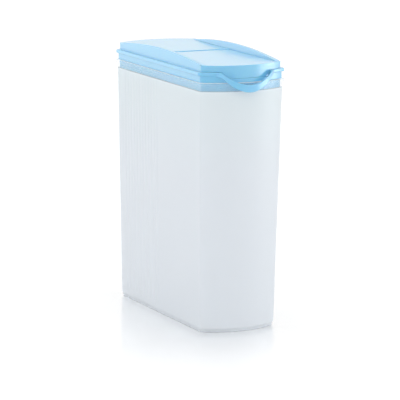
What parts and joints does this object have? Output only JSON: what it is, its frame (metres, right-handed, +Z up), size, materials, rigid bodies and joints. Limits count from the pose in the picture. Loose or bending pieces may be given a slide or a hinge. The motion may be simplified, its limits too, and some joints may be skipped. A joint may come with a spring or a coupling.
{
  "type": "cereal container with flip spout",
  "caption": "Tall narrow dry-food keeper with bowed ends, a press-in lid with a pull strap, and a flip cap over a pour opening.",
  "frame": {"origin": "centre of the container's base, on the surface that it stands on", "axes": "+Z up, -Y to the spout and the pull strap, +X across the narrow way, along the hinge"},
  "size_m": [0.1, 0.2413, 0.2877],
  "materials": {
    "translucent_plastic": "translucent satin",
    "lid_plastic": "satin",
    "cap_plastic": "satin"
  },
  "bodies": {
    "container": {"container": "translucent_plastic"},
    "lid": {"lid": "lid_plastic"},
    "flip_cap": {"flip_cap": "cap_plastic"}
  },
  "joints": [
    {"name": "lid_lift", "type": "slide", "parent": "container", "child": "lid", "axis": [0, 0, 1], "range_m": [0, 0.06]},
    {"name": "flip_cap_hinge", "type": "hinge", "parent": "lid", "child": "flip_cap", "pos_m": [0, 0.005, 0.2788], "axis": [-1, 0, 0], "range_deg": [0, 105]}
  ]
}
